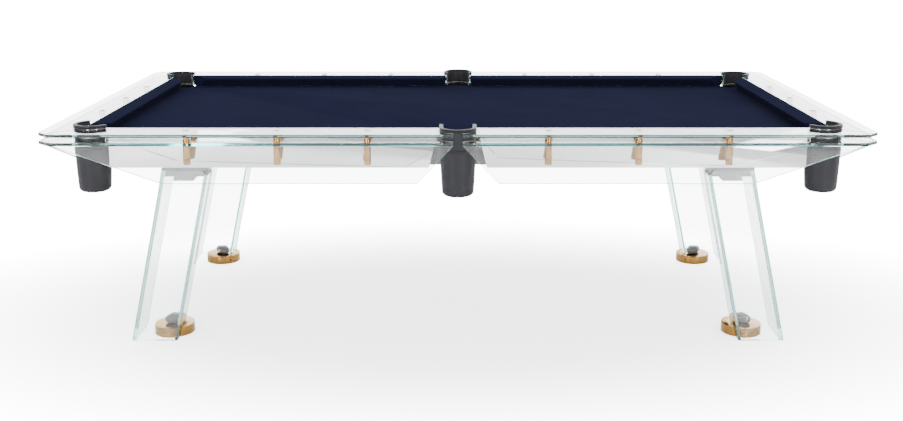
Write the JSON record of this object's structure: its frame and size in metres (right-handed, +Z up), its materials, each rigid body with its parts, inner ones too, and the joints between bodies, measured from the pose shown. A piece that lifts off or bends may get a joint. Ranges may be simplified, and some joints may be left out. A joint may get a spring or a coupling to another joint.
{
  "type": "pool table",
  "caption": "Pool table with clear glass rails, apron and slanted glass legs on brass feet, leather cup pockets and a cloth-covered slate bed.",
  "frame": {"origin": "on the floor, below the middle of the bed", "axes": "+X along the length of the table, +Y across it to the far long side, +Z up"},
  "size_m": [2.679, 1.51, 0.7826],
  "materials": {
    "clear_glass": "low-iron float glass, polished faces, teal cut edges",
    "navy_cloth": "tight worsted navy cloth",
    "black_leather": "soft black leather, stitched",
    "polished_brass": "polished and lacquered brass",
    "sight_bronze": "polished bronze-toned countersunk head",
    "mirror_steel": "mirror polished stainless steel",
    "frame_steel": "dark powder coat",
    "bracket_steel": "fine brushed grey steel",
    "zinc_steel": "zinc plated",
    "glide_rubber": "hard black rubber",
    "wood_backing": "sealed hardwood",
    "slate": "honed slate, matt grey",
    "stone": "water-worn dark stone, matt"
  },
  "bodies": {
    "root": {"rail_glass_near_left": "clear_glass", "rail_glass_near_right": "clear_glass", "rail_glass_far_left": "clear_glass", "rail_glass_far_right": "clear_glass", "rail_glass_left_end": "clear_glass", "rail_glass_right_end": "clear_glass", "shelf_glass_near_left": "clear_glass", "shelf_glass_near_right": "clear_glass", "shelf_glass_far_left": "clear_glass", "shelf_glass_far_right": "clear_glass", "shelf_glass_left_end": "clear_glass", "shelf_glass_right_end": "clear_glass", "apron_glass_near_left": "clear_glass", "apron_glass_near_right": "clear_glass", "apron_glass_far_left": "clear_glass", "apron_glass_far_right": "clear_glass", "apron_glass_left_end": "clear_glass", "apron_glass_right_end": "clear_glass", "cushion_near_left": "navy_cloth", "cushion_near_right": "navy_cloth", "cushion_far_left": "navy_cloth", "cushion_far_right": "navy_cloth", "cushion_left_end": "navy_cloth", "cushion_right_end": "navy_cloth", "pocket_cup_near_left": "black_leather", "pocket_cup_near_middle": "black_leather", "pocket_cup_near_right": "black_leather", "pocket_cup_far_left": "black_leather", "pocket_cup_far_middle": "black_leather", "pocket_cup_far_right": "black_leather", "pocket_rim_near_left": "black_leather", "pocket_rim_near_middle": "black_leather", "pocket_rim_near_right": "black_leather", "pocket_rim_far_left": "black_leather", "pocket_rim_far_middle": "black_leather", "pocket_rim_far_right": "black_leather", "leg_glass_near_left": "clear_glass", "leg_glass_near_right": "clear_glass", "leg_glass_far_left": "clear_glass", "leg_glass_far_right": "clear_glass", "cushion_backing": "wood_backing", "slate_slabs": "slate", "bed_cloth": "navy_cloth", "sight_screws": "sight_bronze", "spacer_sleeves": "polished_brass", "sight_posts": "polished_brass", "post_caps": "polished_brass", "chassis_panels": "mirror_steel", "chassis_beams": "frame_steel", "leg_brackets": "bracket_steel", "foot_discs": "polished_brass", "foot_stones": "stone"},
    "foot_glide_near_left": {"foot_glide_near_left": "glide_rubber"},
    "foot_screw_near_left": {"foot_screw_near_left": "zinc_steel"},
    "foot_glide_near_right": {"foot_glide_near_right": "glide_rubber"},
    "foot_screw_near_right": {"foot_screw_near_right": "zinc_steel"},
    "foot_glide_far_left": {"foot_glide_far_left": "glide_rubber"},
    "foot_screw_far_left": {"foot_screw_far_left": "zinc_steel"},
    "foot_glide_far_right": {"foot_glide_far_right": "glide_rubber"},
    "foot_screw_far_right": {"foot_screw_far_right": "zinc_steel"}
  },
  "joints": [
    {"name": "glide_near_left", "type": "slide", "parent": "root", "child": "foot_glide_near_left", "axis": [0, 0, -1], "range_m": [0, 0.008]},
    {"name": "level_near_left", "type": "hinge", "parent": "foot_glide_near_left", "child": "foot_screw_near_left", "pos_m": [-1.00357, -0.429, 0.02], "axis": [0, 0, -1], "range_deg": [0, 1440]},
    {"name": "glide_near_right", "type": "slide", "parent": "root", "child": "foot_glide_near_right", "axis": [0, 0, -1], "range_m": [0, 0.008]},
    {"name": "level_near_right", "type": "hinge", "parent": "foot_glide_near_right", "child": "foot_screw_near_right", "pos_m": [1.00357, -0.429, 0.02], "axis": [0, 0, -1], "range_deg": [0, 1440]},
    {"name": "glide_far_left", "type": "slide", "parent": "root", "child": "foot_glide_far_left", "axis": [0, 0, -1], "range_m": [0, 0.008]},
    {"name": "level_far_left", "type": "hinge", "parent": "foot_glide_far_left", "child": "foot_screw_far_left", "pos_m": [-1.00357, 0.429, 0.02], "axis": [0, 0, -1], "range_deg": [0, 1440]},
    {"name": "glide_far_right", "type": "slide", "parent": "root", "child": "foot_glide_far_right", "axis": [0, 0, -1], "range_m": [0, 0.008]},
    {"name": "level_far_right", "type": "hinge", "parent": "foot_glide_far_right", "child": "foot_screw_far_right", "pos_m": [1.00357, 0.429, 0.02], "axis": [0, 0, -1], "range_deg": [0, 1440]}
  ],
  "couplings": [
    {"joint": "level_near_left", "follows": "glide_near_left", "rad_per_m": 3141.6},
    {"joint": "level_near_right", "follows": "glide_near_right", "rad_per_m": 3141.6},
    {"joint": "level_far_left", "follows": "glide_far_left", "rad_per_m": 3141.6},
    {"joint": "level_far_right", "follows": "glide_far_right", "rad_per_m": 3141.6}
  ]
}
